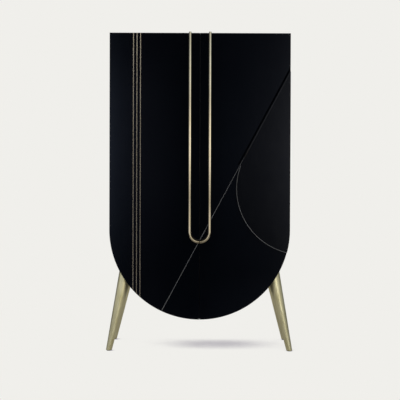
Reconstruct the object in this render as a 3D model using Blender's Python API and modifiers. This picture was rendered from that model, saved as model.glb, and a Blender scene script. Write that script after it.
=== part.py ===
"""Tall bar cabinet: a lacquered body with a semicircular foot, two doors, and brass trim, handles and legs.

Metres, +Z up. The floor is z = 0, the middle of the width is x = 0, and the doors face -Y. The origin is the
middle of the object's footprint, handles included. Left and right are as seen from the front.
"""

import math

import bmesh
import bpy
from mathutils import Matrix, Vector

# Body
WIDTH = 0.900
HEIGHT = 1.590
DEPTH = 0.450
GROUND_CLEARANCE = 0.162
BOARD = 0.022
BACK_BOARD = 0.012
SHELF_BOARD = 0.020
SHELF_COUNT = 3
LOWEST_SHELF_RISE = 0.100
SHELF_SETBACK = 0.020
TONGUE = 0.009
DADO = 0.006

# Fits and finish
SEAT = 0.0003
OVERRUN = 0.010
EDGE_ROUND = 0.0012
EDGE_STEPS = 2
ARC_STEPS = 48
SMALL_STEPS = 14

# Doors
DOOR_BOARD = 0.024
DOOR_GAP = 0.002
SEAM_GAP = 0.002
SWING_ANGLE = math.radians(105)

# Vertical strips on the left door
STRIP_COUNT = 3
STRIP_WIDTH = 0.004
STRIP_DEPTH = 0.0020
STRIP_PITCH = 0.0175
STRIPS_FROM_SIDE = 0.136

# Diagonal line and raised panel
LINE_DROP = 0.189
LINE_FOOT_FROM_SEAM = 0.189
LINE_WIDTH = 0.0022
LINE_DEPTH = 0.0015
PANEL_RISE = 0.014
PANEL_ROUND = 0.004
PANEL_ROUND_STEPS = 3
PANEL_ARC_RADIUS = 0.328
PANEL_ARC_FROM_SIDE = 0.229
PANEL_ARC_STEPS = 40

# Handles
ROD_RADIUS = 0.00625
ROD_STANDOFF = 0.045
ROD_FROM_SEAM = 0.0495
ROD_TIP_GAP = 0.003
ROD_STRAIGHT = 0.992
ROD_RISE = 0.002
ROD_BEND_STEPS = 12
POST_RADIUS = 0.0045
POST_END_INSET = 0.040
POST_BEND_RISE = 0.012
POST_COUNT = 3
SCREW_RADIUS = 0.002
SCREW_GRIP = 0.012
SCREW_HEAD_RADIUS = 0.004
SCREW_HEAD_HEIGHT = 0.0025
SCREW_HEAD_SINK = 0.0010

# Hinges
HINGE_COUNT = 3
HINGE_HEIGHT = 0.080
HINGE_END_INSET = 0.090
HINGE_INSET = 0.004
KNUCKLE_RADIUS = 0.0035
PIN_RADIUS = 0.0015
PIN_HEAD_RADIUS = 0.0026
PIN_HEAD_HEIGHT = 0.0012
LEAF_WIDTH = 0.0145
LEAF_THICKNESS = 0.0016
SWING_CLEARANCE = 0.0006

# Magnetic catch
CATCH_WIDTH = 0.050
CATCH_HEIGHT = 0.014
CATCH_DEPTH = 0.016
STRIKE_WIDTH = 0.016
STRIKE_INSET = 0.007
STRIKE_THICKNESS = 0.0015
STRIKE_RECESS = 0.0010

# Legs
FOOT_OUTSET = 0.004
FOOT_INSET_Y = 0.040
SPLAY_ANGLE_X = math.radians(12)
SPLAY_ANGLE_Y = math.radians(5)
FOOT_RADIUS = 0.014
LEG_TOP_RADIUS = 0.037
LEG_STEPS = 32
LEG_LENGTH = 0.480
GLIDE_HEIGHT = 0.003
GLIDE_RADIUS = 0.011
GLIDE_STEM_RADIUS = 0.0025
GLIDE_STEM_LENGTH = 0.012
BEARER_COVER = 0.044
BEARER_REACH = 0.070
BOLT_RADIUS = 0.004
BOLT_LENGTH = 0.110
BOLT_HEAD_RADIUS = 0.0065
BOLT_HEAD_HEIGHT = 0.006
BOLT_HEAD_SINK = 0.004
SOCKET_RADIUS = 0.003
SOCKET_DEPTH = 0.003

# Places that follow from the sizes
HALF_WIDTH = WIDTH / 2
INNER_HALF = HALF_WIDTH - BOARD
SPRING_Z = GROUND_CLEARANCE + HALF_WIDTH
ROOF_Z = HEIGHT - BOARD
HANDLE_REACH = ROD_STANDOFF + ROD_RADIUS
FRONT_Y = HANDLE_REACH - (DEPTH + HANDLE_REACH) / 2
BACK_Y = FRONT_Y + DEPTH
MIDDLE_Y = (FRONT_Y + BACK_Y) / 2
DOOR_BACK_Y = FRONT_Y + DOOR_BOARD
CARCASS_Y = DOOR_BACK_Y + DOOR_GAP
BACK_PANEL_Y = BACK_Y - BACK_BOARD
SHELF_Y = CARCASS_Y + SHELF_SETBACK
HINGE_X = HALF_WIDTH - HINGE_INSET
HINGE_Y = DOOR_BACK_Y + DOOR_GAP / 2
SIDES = {"left": -1, "right": 1}

# The corners where a door turns past its side panel are cut back this far, so that they clear each other.
SWING_REACH = HINGE_INSET * (1 - math.cos(SWING_ANGLE)) / math.sin(SWING_ANGLE)
SIDE_CHAMFER = SWING_REACH - DOOR_GAP / 2 + SWING_CLEARANCE

# Pieces that seat in the bent shell stay inside its flats, not its corners.
FIT_RADIUS = INNER_HALF * math.cos(math.pi / ARC_STEPS / 2) - SEAT

# The diagonal line runs from the right side, LINE_DROP under the top, to the left door's curved edge.
LINE_TOP_Z = HEIGHT - LINE_DROP
LINE_FOOT_Z = SPRING_Z - math.sqrt(HALF_WIDTH ** 2 - LINE_FOOT_FROM_SEAM ** 2)
LINE_LEAN = math.atan2(HALF_WIDTH + LINE_FOOT_FROM_SEAM, LINE_TOP_Z - LINE_FOOT_Z)

# A leg's axis leaves the floor at the foot and meets the bent shell's inner face at MEET_Z.
FOOT_X = HALF_WIDTH + FOOT_OUTSET
LEAN_X = math.tan(SPLAY_ANGLE_X)
LEAN_Y = math.tan(SPLAY_ANGLE_Y)
AXIS_GROWTH = math.sqrt(1 + LEAN_X ** 2 + LEAN_Y ** 2)
MEET_A = 1 + LEAN_X ** 2
MEET_B = FOOT_X * LEAN_X + SPRING_Z
MEET_C = FOOT_X ** 2 + SPRING_Z ** 2 - INNER_HALF ** 2
MEET_Z = (MEET_B - math.sqrt(MEET_B ** 2 - MEET_A * MEET_C)) / MEET_A
MEET_X = FOOT_X - LEAN_X * MEET_Z
BEARER_TOP_Z = MEET_Z + BEARER_COVER
BEARER_X = MEET_X - BEARER_REACH
DECK_Z = BEARER_TOP_Z + SEAT

# Finishes: base colour, roughness, metallic
LACQUER = ((0.006, 0.008, 0.012, 1), 0.16, 0.0)
VENEER = ((0.16, 0.10, 0.06, 1), 0.45, 0.0)
HARDWOOD = ((0.42, 0.28, 0.16, 1), 0.6, 0.0)
BRASS = ((0.62, 0.52, 0.32, 1), 0.28, 1.0)
SATIN_BRASS = ((0.56, 0.50, 0.32, 1), 0.42, 1.0)
NICKEL = ((0.22, 0.22, 0.24, 1), 0.3, 1.0)
STEEL = ((0.55, 0.55, 0.56, 1), 0.35, 1.0)
NYLON = ((0.03, 0.03, 0.03, 1), 0.7, 0.0)


# Scene and general helpers


def clear_scene():
    for found in list(bpy.data.objects):
        bpy.data.objects.remove(found)


def new_collection(name):
    collection = bpy.data.collections.new(name)
    bpy.context.scene.collection.children.link(collection)
    return collection


def paint(piece, finish):
    """Gives a piece its own material."""
    colour, roughness, metallic = finish
    material = bpy.data.materials.new(piece.name + "_finish")
    material.use_nodes = True
    shader = material.node_tree.nodes["Principled BSDF"]
    shader.inputs["Base Color"].default_value = colour
    shader.inputs["Roughness"].default_value = roughness
    shader.inputs["Metallic"].default_value = metallic
    piece.data.materials.clear()
    piece.data.materials.append(material)


def add_piece(name, mesh, finish):
    piece = bpy.data.objects.new(name, mesh)
    PARTS.objects.link(piece)
    paint(piece, finish)
    return piece


def add_cutter(name, mesh):
    cutter = bpy.data.objects.new(name, mesh)
    cutter.hide_render = True
    cutter.display_type = "WIRE"
    CUTTERS.objects.link(cutter)
    return cutter


def boolean(piece, tool, operation):
    modifier = piece.modifiers.new(tool.name, "BOOLEAN")
    modifier.operation = operation
    modifier.solver = "EXACT"
    modifier.object = tool


def cut(piece, *cutters):
    for cutter in cutters:
        boolean(piece, cutter, "DIFFERENCE")


def join(piece, *additions):
    for addition in additions:
        boolean(piece, addition, "UNION")


def carry(piece, pivot):
    """Hangs a piece on a pivot without moving it."""
    piece.parent = pivot
    piece.matrix_parent_inverse = pivot.matrix_world.inverted()


def smooth(mesh):
    mesh.shade_smooth()
    mesh.set_sharp_from_angle(angle=math.radians(35))


# Shapes


def box_mesh(name, low, high):
    """A block between two corners."""
    low, high = Vector(low), Vector(high)
    shape = bmesh.new()
    bmesh.ops.create_cube(shape, size=1)
    bmesh.ops.scale(shape, vec=high - low, verts=shape.verts)
    bmesh.ops.translate(shape, vec=(low + high) / 2, verts=shape.verts)
    mesh = bpy.data.meshes.new(name)
    shape.to_mesh(mesh)
    shape.free()
    return mesh


def mesh_of_curve(guide):
    """Makes a curve's surface a closed mesh in world space, with each flat side as one face."""
    bpy.context.view_layer.update()
    graph = bpy.context.evaluated_depsgraph_get()
    mesh = bpy.data.meshes.new_from_object(guide.evaluated_get(graph))
    mesh.transform(guide.matrix_world)
    name, source = guide.name, guide.data
    bpy.data.objects.remove(guide)
    bpy.data.batch_remove([source])
    mesh.name = name
    shape = bmesh.new()
    shape.from_mesh(mesh)
    bmesh.ops.remove_doubles(shape, verts=shape.verts, dist=SEAT / 10)
    bmesh.ops.dissolve_limit(shape, angle_limit=math.radians(0.1), verts=shape.verts, edges=shape.edges)
    bmesh.ops.recalc_face_normals(shape, faces=shape.faces)
    shape.to_mesh(mesh)
    shape.free()
    return mesh


def plate_mesh(name, outline, front, back):
    """A flat board: an outline of (x, z) points, filled between two values of y."""
    curve = bpy.data.curves.new(name, "CURVE")
    curve.dimensions = "2D"
    curve.fill_mode = "BOTH"
    curve.extrude = (back - front) / 2
    spline = curve.splines.new("POLY")
    spline.points.add(len(outline) - 1)
    for point, (x, z) in zip(spline.points, outline):
        point.co = (x, z, 0, 1)
    spline.use_cyclic_u = True
    guide = bpy.data.objects.new(name, curve)
    guide.location.y = (front + back) / 2
    guide.rotation_euler.x = math.pi / 2
    CUTTERS.objects.link(guide)
    return mesh_of_curve(guide)


def turned_mesh(name, profile, steps):
    """A solid of revolution about Z; its profile is (radius, z) points from the top of the axis down."""
    mesh = bpy.data.meshes.new(name)
    shape = bmesh.new()
    corners = [shape.verts.new((radius, 0, z)) for radius, z in profile]
    for above, below in zip(corners, corners[1:]):
        shape.edges.new((above, below))
    shape.to_mesh(mesh)
    shape.free()
    guide = bpy.data.objects.new(name, mesh)
    CUTTERS.objects.link(guide)
    screw = guide.modifiers.new("turn", "SCREW")
    screw.steps = steps
    screw.render_steps = steps
    screw.use_merge_vertices = True
    screw.merge_threshold = SEAT / 10
    screw.use_normal_calculate = True
    return mesh_of_curve(guide)


def cylinder_profile(radius, top, bottom):
    return [(0, top), (radius, top), (radius, bottom), (0, bottom)]


def aim(mesh, start, direction):
    """Stands a turned mesh on a point, with its +Z along a direction."""
    turn = Vector(direction).to_track_quat("Z", "Y").to_matrix().to_4x4()
    mesh.transform(Matrix.Translation(start) @ turn)


def soften(mesh, offset, steps, chosen):
    """Bevels the edges that a test on their two ends chooses; one step makes a flat chamfer."""
    shape = bmesh.new()
    shape.from_mesh(mesh)
    edges = [edge for edge in shape.edges if chosen(*(vert.co for vert in edge.verts))]
    bmesh.ops.bevel(shape, geom=edges, offset=offset, segments=steps, profile=0.5, affect="EDGES")
    shape.to_mesh(mesh)
    shape.free()


def near(a, b):
    return abs(a - b) < SEAT / 3


def on_circle(centre, radius, turn):
    """A point in X and Z; the angle is in radians from +X towards +Z."""
    return (centre[0] + radius * math.cos(turn), centre[1] + radius * math.sin(turn))


def arc(centre, radius, start, end, steps):
    """Points on an arc in X and Z, with both ends."""
    turns = [start + (end - start) * step / steps for step in range(steps + 1)]
    return [on_circle(centre, radius, turn) for turn in turns]


def runs_at(a, b, y):
    """Whether an edge lies at one depth."""
    return near(a.y, y) and near(b.y, y)


def half_width_at(z, radius=HALF_WIDTH):
    """Half the body's width at a height: straight sides above the spring line, a semicircle below it."""
    if z >= SPRING_Z:
        return radius
    return math.sqrt(max(radius ** 2 - (SPRING_Z - z) ** 2, 0))


def edge_z(x, radius=HALF_WIDTH):
    """Height of the semicircle under a point of the width."""
    return SPRING_Z - math.sqrt(radius ** 2 - x ** 2)


# Body panels


def on_swing_edge(y):
    """A test for the outer edges at one depth, along the sides and round the semicircle."""

    def chosen(a, b):
        outside = all(near(abs(co.x), half_width_at(co.z)) for co in (a, b))
        return outside and runs_at(a, b, y)

    return chosen


def make_top_panel():
    mesh = box_mesh("top_panel", (-HALF_WIDTH, CARCASS_Y, ROOF_Z), (HALF_WIDTH, BACK_Y, HEIGHT))
    soften(mesh, SIDE_CHAMFER, 1, lambda a, b: runs_at(a, b, CARCASS_Y) and near(a.x, b.x))
    soften(mesh, EDGE_ROUND, EDGE_STEPS, lambda a, b: near(a.z, HEIGHT) and near(b.z, HEIGHT))
    return add_piece("top_panel", mesh, LACQUER)


def make_side_panel(side):
    """A flat side with grooves for the shelves and a mortise for each hinge."""
    name = "side_panel_" + side
    sign = SIDES[side]
    inner, outer = sorted((sign * INNER_HALF, sign * HALF_WIDTH))
    mesh = box_mesh(name, (inner, CARCASS_Y, SPRING_Z + SEAT), (outer, BACK_Y, ROOF_Z - SEAT))
    swing_edge = on_swing_edge(CARCASS_Y)
    soften(mesh, SIDE_CHAMFER, 1, lambda a, b: swing_edge(a, b) and near(a.x, b.x))
    panel = add_piece(name, mesh, LACQUER)
    for level, z in enumerate(shelf_heights()):
        low_x, high_x = sorted((sign * (INNER_HALF - OVERRUN), sign * (INNER_HALF + DADO)))
        low = (low_x, SHELF_Y - SEAT, z - SEAT)
        high = (high_x, BACK_PANEL_Y, z + TONGUE + SEAT)
        groove = f"shelf_groove_{side}_{level}"
        cut(panel, add_cutter(groove, box_mesh(groove, low, high)))
    return panel


def make_curved_base():
    """The bent shell under the spring line, between the two sides."""
    outer = arc((0, SPRING_Z), HALF_WIDTH, math.pi, 2 * math.pi, ARC_STEPS)
    inner = arc((0, SPRING_Z), INNER_HALF, 2 * math.pi, math.pi, ARC_STEPS)
    mesh = plate_mesh("curved_base", outer + inner, CARCASS_Y, BACK_Y)
    swing_edge = on_swing_edge(CARCASS_Y)
    soften(mesh, SIDE_CHAMFER, 1, swing_edge)
    return add_piece("curved_base", mesh, LACQUER)


def body_outline(half, top):
    """The front outline: square top corners and a semicircular bottom."""
    return [(half, top), (-half, top)] + arc((0, SPRING_Z), half, math.pi, 2 * math.pi, ARC_STEPS)


def make_back_panel():
    outline = body_outline(INNER_HALF - SEAT, ROOF_Z - SEAT)
    mesh = plate_mesh("back_panel", outline, BACK_PANEL_Y, BACK_Y)
    return add_piece("back_panel", mesh, LACQUER)


def shelf_heights():
    """The undersides of the shelves, evenly spaced up the straight part of the sides."""
    lowest = SPRING_Z + LOWEST_SHELF_RISE - SHELF_BOARD
    pitch = (ROOF_Z - lowest - SHELF_BOARD) / SHELF_COUNT
    return [lowest + pitch * level for level in range(SHELF_COUNT)]


def make_shelf(name, z):
    """A board between the sides. Its lower half runs on as a tongue that seats in each side's groove."""
    body, reach = INNER_HALF - SEAT, INNER_HALF + DADO - SEAT
    shoulder, top = z + TONGUE, z + SHELF_BOARD
    right = [(reach, z), (reach, shoulder), (body, shoulder), (body, top)]
    outline = right + [(-x, level) for x, level in reversed(right)]
    mesh = plate_mesh(name, outline, SHELF_Y, BACK_PANEL_Y - SEAT)

    def front_arris(a, b):
        across = near(a.z, b.z) and not near(a.z, shoulder)
        return across and runs_at(a, b, SHELF_Y)

    soften(mesh, EDGE_ROUND, EDGE_STEPS, front_arris)
    return add_piece(name, mesh, VENEER)


def make_lower_deck():
    """The deck across the semicircle, which rests on the two bearers."""
    top = DECK_Z + BOARD
    low_half, high_half = (half_width_at(z, FIT_RADIUS) for z in (DECK_Z, top))
    outline = [(-low_half, DECK_Z), (low_half, DECK_Z), (high_half, top), (-high_half, top)]
    mesh = plate_mesh("lower_deck", outline, SHELF_Y, BACK_PANEL_Y - SEAT)
    soften(mesh, EDGE_ROUND, EDGE_STEPS, lambda a, b: runs_at(a, b, SHELF_Y) and near(a.z, b.z))
    return add_piece("lower_deck", mesh, VENEER)


# Legs


def leg_axis(side, end):
    """A leg's foot on the floor, and the unit vector up its axis."""
    depth_sign = {"front": -1, "back": 1}[end]
    foot_y = MIDDLE_Y + depth_sign * (DEPTH / 2 - FOOT_INSET_Y)
    foot = Vector((SIDES[side] * FOOT_X, foot_y, 0))
    up = Vector((-SIDES[side] * LEAN_X, -depth_sign * LEAN_Y, 1))
    return foot, up.normalized()


def make_leg_bearer(side):
    """A wedge of hardwood in the corner between the bent shell and the lower deck."""
    name = "leg_bearer_" + side
    sign = SIDES[side]
    low_turn = -math.acos(BEARER_X / FIT_RADIUS)
    high_turn = -math.asin((SPRING_Z - BEARER_TOP_Z) / FIT_RADIUS)
    curve = arc((0, SPRING_Z), FIT_RADIUS, low_turn, high_turn, ARC_STEPS // 6)
    outline = [(sign * x, z) for x, z in curve + [(BEARER_X, BEARER_TOP_Z)]]
    mesh = plate_mesh(name, outline, SHELF_Y, BACK_PANEL_Y - SEAT)
    return add_piece(name, mesh, HARDWOOD)


def make_leg(side, end, shell_cutter, base, bearer):
    """A tapered leg coped to the bent shell, with its bolt and its glide."""
    place = f"{end}_{side}"
    foot, up = leg_axis(side, end)
    leg_name = "leg_" + place
    leg_profile = [(0, LEG_LENGTH), (LEG_TOP_RADIUS, LEG_LENGTH), (FOOT_RADIUS, -OVERRUN), (0, -OVERRUN)]
    mesh = turned_mesh(leg_name, leg_profile, LEG_STEPS)
    aim(mesh, foot, up)
    smooth(mesh)
    leg = add_piece(leg_name, mesh, SATIN_BRASS)
    reach = Vector((LEG_TOP_RADIUS, LEG_TOP_RADIUS, 0))
    sole_low = foot - reach - Vector((0, 0, OVERRUN * 3))
    sole_high = foot + reach + Vector((0, 0, GLIDE_HEIGHT + SEAT))
    sole = add_cutter("sole_" + place, box_mesh("sole_" + place, sole_low, sole_high))
    cut(leg, shell_cutter, sole)

    # The bolt's head sits in a counterbore in the bearer's top face, and its shank runs down the leg's axis.
    top = BEARER_TOP_Z * AXIS_GROWTH
    seat = top - BOLT_HEAD_SINK - BOLT_HEAD_HEIGHT
    bolt_end = seat - BOLT_LENGTH
    drill_profile = cylinder_profile(BOLT_RADIUS + SEAT, top + OVERRUN, bolt_end - SEAT)
    sink_profile = cylinder_profile(BOLT_HEAD_RADIUS + SEAT, top + OVERRUN, seat - SEAT)
    drill_mesh = turned_mesh("bolt_hole_" + place, drill_profile, SMALL_STEPS)
    sink_mesh = turned_mesh("bolt_sink_" + place, sink_profile, SMALL_STEPS)
    for hole in (drill_mesh, sink_mesh):
        aim(hole, foot, up)
    drill = add_cutter(drill_mesh.name, drill_mesh)
    for drilled in (leg, base, bearer):
        cut(drilled, drill)
    cut(bearer, add_cutter(sink_mesh.name, sink_mesh))
    head_top = seat + BOLT_HEAD_HEIGHT
    bolt_profile = [
        (0, head_top - SOCKET_DEPTH),
        (SOCKET_RADIUS, head_top - SOCKET_DEPTH),
        (SOCKET_RADIUS, head_top),
        (BOLT_HEAD_RADIUS, head_top),
        (BOLT_HEAD_RADIUS, seat),
        (BOLT_RADIUS, seat),
        (BOLT_RADIUS, bolt_end),
        (0, bolt_end),
    ]
    bolt_mesh = turned_mesh("leg_bolt_" + place, bolt_profile, SMALL_STEPS)
    aim(bolt_mesh, foot, up)
    smooth(bolt_mesh)
    add_piece(bolt_mesh.name, bolt_mesh, STEEL)
    make_foot_glide(place, foot, leg)


def make_foot_glide(place, foot, leg):
    """A nylon disc under the leg, with a stem that is pressed up into it."""
    stem_top = GLIDE_HEIGHT + GLIDE_STEM_LENGTH
    hole_profile = cylinder_profile(GLIDE_STEM_RADIUS + SEAT, stem_top + SEAT, -OVERRUN)
    hole_mesh = turned_mesh("glide_hole_" + place, hole_profile, SMALL_STEPS)
    aim(hole_mesh, foot, (0, 0, 1))
    cut(leg, add_cutter(hole_mesh.name, hole_mesh))
    profile = [
        (0, stem_top),
        (GLIDE_STEM_RADIUS, stem_top),
        (GLIDE_STEM_RADIUS, GLIDE_HEIGHT),
        (GLIDE_RADIUS, GLIDE_HEIGHT),
        (GLIDE_RADIUS, 0),
        (0, 0),
    ]
    mesh = turned_mesh("foot_glide_" + place, profile, SMALL_STEPS)
    aim(mesh, foot, (0, 0, 1))
    smooth(mesh)
    add_piece(mesh.name, mesh, NYLON)


def make_shell_cutter():
    """The bent shell's outer form, with the seat that the legs' tops keep to it."""
    outline = arc((0, SPRING_Z), HALF_WIDTH + SEAT, 0, 2 * math.pi, 2 * ARC_STEPS)[:-1]
    return add_cutter("shell_form", plate_mesh("shell_form", outline, FRONT_Y - OVERRUN, BACK_Y + OVERRUN))


# Doors and what is on them


def door_outline(sign):
    """Half the front outline, from the seam to the side."""
    seam = SEAM_GAP / 2
    start = math.asin(seam / HALF_WIDTH) - math.pi / 2
    curve = arc((0, SPRING_Z), HALF_WIDTH, -math.pi / 2, 0, ARC_STEPS // 2)[1:]
    first = (seam, SPRING_Z + HALF_WIDTH * math.sin(start))
    outline = [first] + curve + [(HALF_WIDTH, HEIGHT), (seam, HEIGHT)]
    return [(sign * x, z) for x, z in outline]


def make_door(side, pivot):
    name = "door_" + side
    mesh = plate_mesh(name, door_outline(SIDES[side]), FRONT_Y, DOOR_BACK_Y)
    soften(mesh, SIDE_CHAMFER, 1, on_swing_edge(DOOR_BACK_Y))
    soften(mesh, EDGE_ROUND, EDGE_STEPS, lambda a, b: runs_at(a, b, FRONT_Y))
    door = add_piece(name, mesh, LACQUER)
    carry(door, pivot)
    return door


def strip_places():
    """The strips' centre lines, from the outer one in, about a middle line STRIPS_FROM_SIDE from the side."""
    first = -HALF_WIDTH + STRIPS_FROM_SIDE - STRIP_PITCH * (STRIP_COUNT - 1) / 2
    return [first + STRIP_PITCH * i for i in range(STRIP_COUNT)]


def make_strips(door, pivot):
    """Brass strips let in flush, from the top edge down to the curved edge."""
    for number, x in enumerate(strip_places(), start=1):
        name = f"brass_strip_{number}"
        left, right = x - STRIP_WIDTH / 2, x + STRIP_WIDTH / 2
        top = HEIGHT - EDGE_ROUND
        foot_gap = EDGE_ROUND * 2
        feet = [(edge_x, edge_z(edge_x) + foot_gap) for edge_x in (left, right)]
        mesh = plate_mesh(name, feet + [(right, top), (left, top)], FRONT_Y, FRONT_Y + STRIP_DEPTH)
        strip = add_piece(name, mesh, BRASS)
        carry(strip, pivot)
        low = (left - SEAT, FRONT_Y - OVERRUN, edge_z(left) - OVERRUN)
        high = (right + SEAT, FRONT_Y + STRIP_DEPTH + SEAT, HEIGHT + OVERRUN)
        groove = "groove_" + name
        cut(door, add_cutter(groove, box_mesh(groove, low, high)))


def line_point(x):
    """A point on the diagonal line, which meets the right side LINE_DROP under the top."""
    return (x, LINE_TOP_Z - (HALF_WIDTH - x) / math.tan(LINE_LEAN))


def line_band(start, end, half):
    """The outline of a band along the diagonal line between two points."""
    across = (math.cos(LINE_LEAN) * half, -math.sin(LINE_LEAN) * half)
    near_side = [(x + across[0], z + across[1]) for x, z in (start, end)]
    far_side = [(x - across[0], z - across[1]) for x, z in (end, start)]
    return near_side + far_side


def panel_tangent():
    return line_point(HALF_WIDTH - PANEL_ARC_FROM_SIDE)


def make_line_inlay(side, door, pivot):
    """The fine inlay along the diagonal line in one door."""
    name = "line_inlay_" + side
    inset = EDGE_ROUND * 2
    if side == "left":
        low, high = inset * math.sin(LINE_LEAN) - LINE_FOOT_FROM_SEAM, -SEAM_GAP / 2 - inset
    else:
        low, high = SEAM_GAP / 2 + inset, panel_tangent()[0]
    outline = line_band(line_point(low), line_point(high), LINE_WIDTH / 2)
    inlay = add_piece(name, plate_mesh(name, outline, FRONT_Y, FRONT_Y + LINE_DEPTH), NICKEL)
    carry(inlay, pivot)
    run = OVERRUN * math.sin(LINE_LEAN)
    far = high + run if side == "left" else high + SEAT
    groove_outline = line_band(line_point(low - run), line_point(far), LINE_WIDTH / 2 + SEAT)
    groove = "groove_" + name
    groove_mesh = plate_mesh(groove, groove_outline, FRONT_Y - OVERRUN, FRONT_Y + LINE_DEPTH + SEAT)
    cut(door, add_cutter(groove, groove_mesh))


def panel_outline():
    """The raised panel: down the diagonal line, round the arc to the door's edge, and back up that edge."""
    tangent = panel_tangent()
    centre = (
        tangent[0] + PANEL_ARC_RADIUS * math.cos(LINE_LEAN),
        tangent[1] - PANEL_ARC_RADIUS * math.sin(LINE_LEAN),
    )
    start = math.pi - LINE_LEAN
    inside, outside = start, start + math.pi
    for _ in range(40):
        middle = (inside + outside) / 2
        x, z = on_circle(centre, PANEL_ARC_RADIUS, middle)
        if x < half_width_at(z):
            inside = middle
        else:
            outside = middle
    inner_arc = arc(centre, PANEL_ARC_RADIUS, start, inside, PANEL_ARC_STEPS)
    end_x, end_z = inner_arc[-1]
    edge = []
    if end_z < SPRING_Z:
        turn = math.atan2(end_z - SPRING_Z, end_x)
        steps = max(2, round(-turn / (math.pi / ARC_STEPS)))
        edge = arc((0, SPRING_Z), HALF_WIDTH, turn, 0, steps)[1:]
    return inner_arc + edge + [line_point(HALF_WIDTH)]


def make_raised_panel(pivot):
    """An overlay board glued to the right door, with its free edges rounded over."""
    back, front = FRONT_Y - SEAT, FRONT_Y - PANEL_RISE
    mesh = plate_mesh("raised_panel", panel_outline(), front, back)

    def free_edge(a, b):
        inside = any(co.x < half_width_at(co.z) - SEAT for co in (a, b))
        return inside and runs_at(a, b, front)

    soften(mesh, PANEL_ROUND, PANEL_ROUND_STEPS, free_edge)
    panel = add_piece("raised_panel", mesh, LACQUER)
    smooth(mesh)
    carry(panel, pivot)


def handle_mesh(side):
    """The rod's line: straight down, then a quarter turn to the seam."""
    name = "handle_" + side
    sign = SIDES[side]
    tip = ROD_TIP_GAP / 2
    bend = ROD_FROM_SEAM - tip
    top = HEIGHT + ROD_RISE
    bend_z = top - ROD_STRAIGHT
    line = [(ROD_FROM_SEAM, top)] + arc((tip, bend_z), bend, 0, -math.pi / 2, ROD_BEND_STEPS)
    curve = bpy.data.curves.new(name, "CURVE")
    curve.dimensions = "3D"
    curve.bevel_depth = ROD_RADIUS
    curve.bevel_resolution = 4
    curve.use_fill_caps = True
    spline = curve.splines.new("POLY")
    spline.points.add(len(line) - 1)
    for point, (x, z) in zip(spline.points, line):
        point.co = (sign * x, FRONT_Y - ROD_STANDOFF, z, 1)
    guide = bpy.data.objects.new(name, curve)
    CUTTERS.objects.link(guide)
    return mesh_of_curve(guide)


def post_heights():
    top = HEIGHT + ROD_RISE - POST_END_INSET
    bottom = HEIGHT + ROD_RISE - ROD_STRAIGHT + POST_BEND_RISE
    return [top + (bottom - top) * i / (POST_COUNT - 1) for i in range(POST_COUNT)]


def make_handle(side, door, pivot):
    """A rod with three posts brazed to its back, each held by a screw from inside the door."""
    mesh = handle_mesh(side)
    smooth(mesh)
    handle = add_piece("handle_" + side, mesh, BRASS)
    carry(handle, pivot)
    x = SIDES[side] * ROD_FROM_SEAM
    for number, z in enumerate(post_heights(), start=1):
        tag = f"{side}_{number}"
        # Turned pieces here stand on the door's back face and point forwards.
        base = Vector((x, DOOR_BACK_Y, z))
        forward = Vector((0, -1, 0))
        post_profile = cylinder_profile(POST_RADIUS, DOOR_BOARD + ROD_STANDOFF, DOOR_BOARD + SEAT)
        post = turned_mesh("post_" + tag, post_profile, SMALL_STEPS)
        seat = SCREW_HEAD_SINK + SCREW_HEAD_HEIGHT
        screw_end = DOOR_BOARD + SCREW_GRIP
        hole_profile = [
            (0, screw_end + SEAT),
            (SCREW_RADIUS + SEAT, screw_end + SEAT),
            (SCREW_RADIUS + SEAT, seat + SEAT),
            (SCREW_HEAD_RADIUS + SEAT, seat + SEAT),
            (SCREW_HEAD_RADIUS + SEAT, -OVERRUN),
            (0, -OVERRUN),
        ]
        hole = turned_mesh("screw_hole_" + tag, hole_profile, SMALL_STEPS)
        screw_profile = [
            (0, screw_end),
            (SCREW_RADIUS, screw_end),
            (SCREW_RADIUS, seat),
            (SCREW_HEAD_RADIUS, seat),
            (SCREW_HEAD_RADIUS, SCREW_HEAD_SINK),
            (0, SCREW_HEAD_SINK),
        ]
        screw = turned_mesh("handle_screw_" + tag, screw_profile, SMALL_STEPS)
        for shape in (post, hole, screw):
            aim(shape, base, forward)
        smooth(screw)
        drill = add_cutter(hole.name, hole)
        join(handle, add_cutter(post.name, post))
        cut(handle, drill)
        cut(door, drill)
        carry(add_piece(screw.name, screw, STEEL), pivot)


# Hinges


def hinge_heights():
    """The middles of a door's hinges, along the straight part of its side."""
    low, high = SPRING_Z + HINGE_END_INSET, HEIGHT - HINGE_END_INSET
    return [low + (high - low) * i / (HINGE_COUNT - 1) for i in range(HINGE_COUNT)]


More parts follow.
